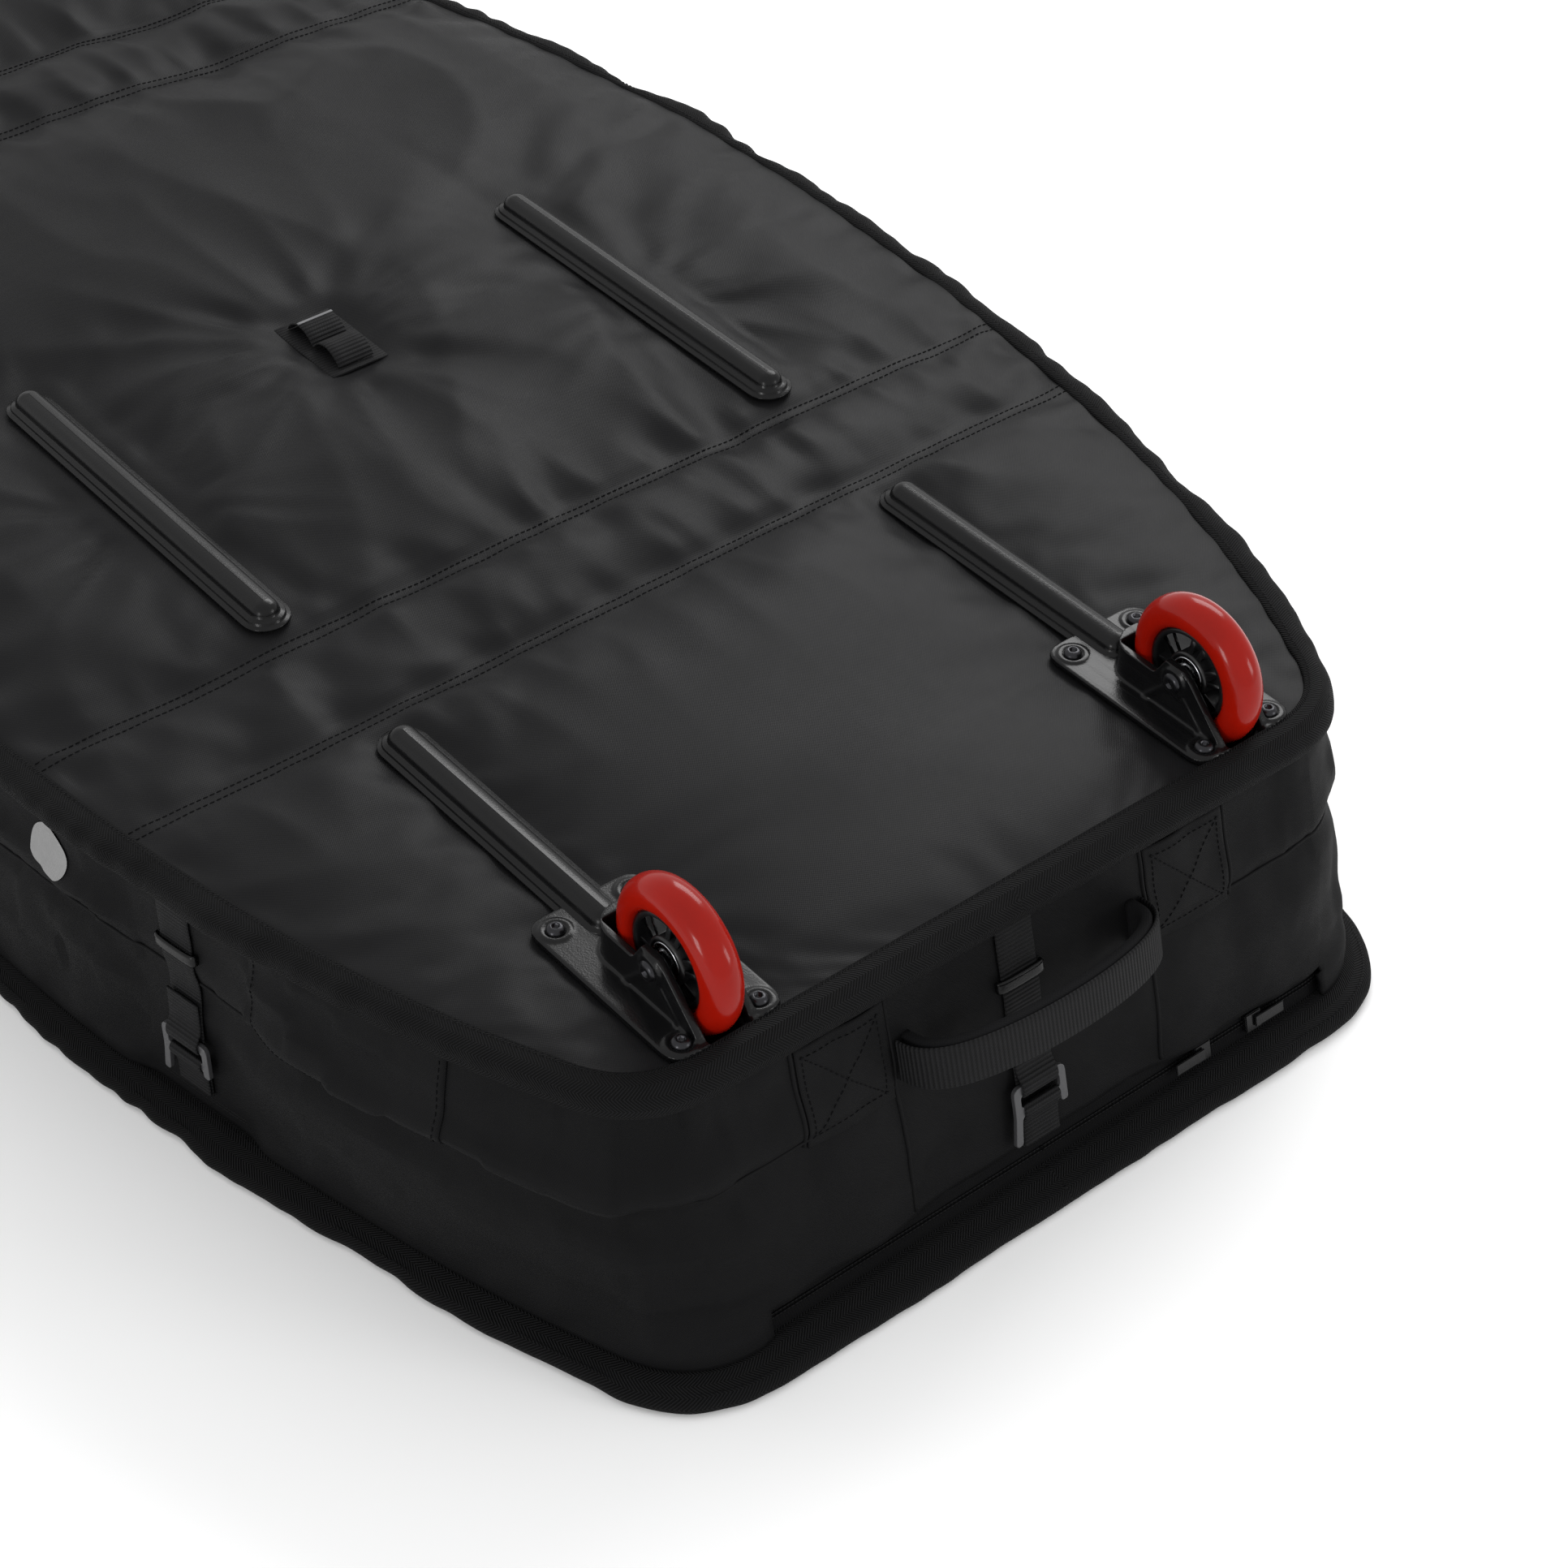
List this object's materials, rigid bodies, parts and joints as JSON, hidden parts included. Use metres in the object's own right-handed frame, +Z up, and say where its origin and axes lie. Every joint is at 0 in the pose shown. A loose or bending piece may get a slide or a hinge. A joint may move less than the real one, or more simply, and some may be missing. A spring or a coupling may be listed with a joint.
{
  "type": "snowboard bag",
  "caption": "Long padded board travel bag lying on its lid, with a rounded nose, bound edges, skid rails, end handles, hook straps and spoked wheels recessed in housings at the tail.",
  "frame": {"origin": "on the floor, under the middle of the bag's length and width", "axes": "+X towards the wheeled tail, +Y towards the hinged long side, +Z up from the lid on the floor to the base and wheels on top"},
  "size_m": [1.637, 0.768, 0.262],
  "materials": {
    "base_fabric": "smooth coated cloth, soft sheen",
    "side_fabric": "matte woven polyester",
    "binding": "herringbone twill tape",
    "webbing": "ribbed webbing",
    "mesh": "open mesh",
    "zip": "coil zip tape",
    "zip_metal": "black lacquered",
    "stiffener": "matte",
    "plastic": "satin moulded",
    "wheel_core": "satin moulded",
    "tyre": "glossy cast polyurethane",
    "steel": "bright",
    "dark_steel": "black oxide",
    "hook_metal": "dark grey anodised"
  },
  "bodies": {
    "lid": {"lid_panel": "side_fabric", "lid_binding": "binding", "lid_zip_tape": "zip", "lid_mesh_pocket": "mesh"},
    "shell": {"base_tail_panel": "base_fabric", "base_rear_band": "base_fabric", "base_main_panel": "base_fabric", "base_binding": "binding", "wall_tail": "side_fabric", "wall_left": "side_fabric", "wall_right": "side_fabric", "wall_nose": "side_fabric", "shell_zip_tape": "zip", "corner_patch_left": "base_fabric", "corner_patch_right": "base_fabric", "tail_stiffener": "stiffener", "tie_strap_rear": "webbing", "tie_strap_front": "webbing", "skid_rail_front_left": "plastic", "skid_rail_front_right": "plastic", "skid_rail_rear_left": "plastic", "skid_rail_rear_right": "plastic", "wheel_housing_left": "plastic", "housing_screw_left_1": "dark_steel", "housing_screw_left_2": "dark_steel", "housing_screw_left_3": "dark_steel", "housing_screw_left_4": "dark_steel", "axle_bolt_left": "dark_steel", "axle_nut_left": "dark_steel", "wheel_housing_right": "plastic", "housing_screw_right_1": "dark_steel", "housing_screw_right_2": "dark_steel", "housing_screw_right_3": "dark_steel", "housing_screw_right_4": "dark_steel", "axle_bolt_right": "dark_steel", "axle_nut_right": "dark_steel", "base_loop_patch": "webbing", "strap_tail": "webbing", "strap_loop_tail": "webbing", "strap_left": "webbing", "strap_loop_left": "webbing", "strap_right": "webbing", "strap_loop_right": "webbing"},
    "wheel_left": {"tyre_left": "tyre", "wheel_core_left": "wheel_core", "bearing_left_1": "steel", "bearing_left_2": "steel"},
    "wheel_right": {"tyre_right": "tyre", "wheel_core_right": "wheel_core", "bearing_right_1": "steel", "bearing_right_2": "steel"},
    "tail_handle": {"tail_handle": "webbing"},
    "nose_handle": {"nose_handle": "webbing"},
    "hook_tail": {"hook_tail": "hook_metal"},
    "hook_left": {"hook_left": "hook_metal"},
    "hook_right": {"hook_right": "hook_metal"},
    "zip_slider_left": {"zip_slider_left": "zip_metal"},
    "puller_left": {"zip_puller_left": "zip_metal"},
    "zip_slider_right": {"zip_slider_right": "zip_metal"},
    "puller_right": {"zip_puller_right": "zip_metal"}
  },
  "joints": [
    {"name": "shell_open", "type": "hinge", "parent": "lid", "child": "shell", "pos_m": [0, 0.372, 0.024], "axis": [-1, 0, 0], "range_deg": [0, 90]},
    {"name": "wheel_left_spin", "type": "hinge", "parent": "shell", "child": "wheel_left", "pos_m": [0.7065, -0.18, 0.217], "axis": [0, 1, 0], "continuous": true},
    {"name": "wheel_right_spin", "type": "hinge", "parent": "shell", "child": "wheel_right", "pos_m": [0.7065, 0.18, 0.217], "axis": [0, 1, 0], "continuous": true},
    {"name": "tail_handle_swing", "type": "hinge", "parent": "shell", "child": "tail_handle", "pos_m": [0.77931, 0, 0.13346], "axis": [0, 1, 0], "range_deg": [-20, 20]},
    {"name": "nose_handle_swing", "type": "hinge", "parent": "shell", "child": "nose_handle", "pos_m": [-0.7895, 0, 0.11], "axis": [0, -1, 0], "range_deg": [-20, 20]},
    {"name": "hook_tail_swing", "type": "hinge", "parent": "shell", "child": "hook_tail", "pos_m": [0.78395, 0, 0.07262], "axis": [0, -1, 0], "range_deg": [-4, 8]},
    {"name": "hook_left_swing", "type": "hinge", "parent": "shell", "child": "hook_left", "pos_m": [0.46622, -0.33894, 0.0715], "axis": [-0.9861, -0.1664, 0], "range_deg": [-4, 8]},
    {"name": "hook_right_swing", "type": "hinge", "parent": "shell", "child": "hook_right", "pos_m": [0.46622, 0.33894, 0.0715], "axis": [0.9861, -0.1664, 0], "range_deg": [-4, 8]},
    {"name": "zip_left_slide", "type": "slide", "parent": "shell", "child": "zip_slider_left", "axis": [0, -1, 0], "range_m": [0, 0.27]},
    {"name": "zip_right_slide", "type": "slide", "parent": "shell", "child": "zip_slider_right", "axis": [0, 1, 0], "range_m": [0, 0.02]},
    {"name": "puller_left_swing", "type": "hinge", "parent": "zip_slider_left", "child": "puller_left", "pos_m": [0.79478, 0.12, 0.02517], "axis": [-0.2305, 0, 0.9731], "range_deg": [0, 150]},
    {"name": "puller_right_swing", "type": "hinge", "parent": "zip_slider_right", "child": "puller_right", "pos_m": [0.79478, 0.16, 0.02517], "axis": [0.2305, 0, -0.9731], "range_deg": [0, 150]}
  ]
}
